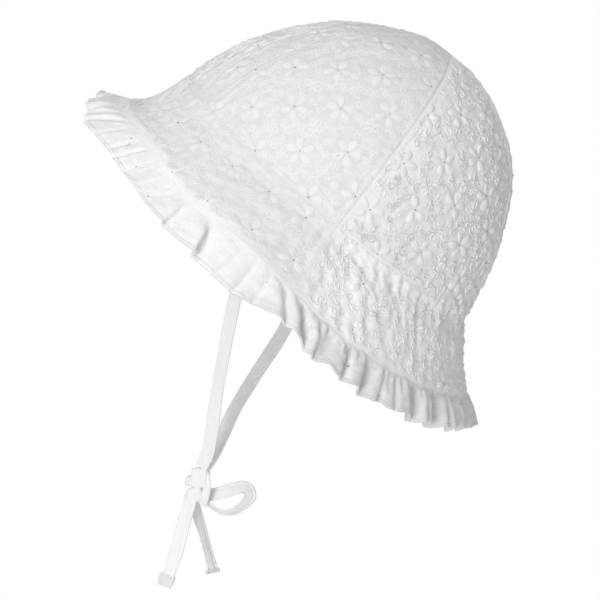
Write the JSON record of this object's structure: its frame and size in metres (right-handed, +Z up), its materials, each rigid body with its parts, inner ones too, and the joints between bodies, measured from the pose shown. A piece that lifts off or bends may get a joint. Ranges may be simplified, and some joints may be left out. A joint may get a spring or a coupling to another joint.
{
  "type": "sun hat",
  "caption": "White embroidered cotton sun hat for a baby: gored crown, brim with neck flap, gathered ruffle and cotton ties in a half bow under the chin.",
  "frame": {"origin": "the place inside the top of the crown where the head carries the hat, the mount head_seat", "axes": "+Z up, -X the way the front of the hat looks, -Y the wearer's left; the hat leans back by 40.5 degrees about Y, as it is worn in the picture, and the ties hang straight down"},
  "size_m": [0.2012, 0.2181, 0.2705],
  "materials": {
    "embroidered_cloth": "matt white cotton with white satin-stitched flowers and outline sprigs",
    "tape": "matt folded white cotton tape, stitched along one edge"
  },
  "bodies": {
    "root": {"crown_front": "embroidered_cloth", "crown_side_left": "embroidered_cloth", "crown_side_right": "embroidered_cloth", "crown_back_left": "embroidered_cloth", "crown_back_right": "embroidered_cloth", "brim_front": "embroidered_cloth", "brim_back": "embroidered_cloth", "ruffle_front": "embroidered_cloth", "ruffle_back": "embroidered_cloth", "tie_left": "tape", "tie_right": "tape", "bow_knot": "tape", "bow_loop": "tape", "bow_tail_left": "tape", "bow_tail_right": "tape"}
  },
  "joints": []
}
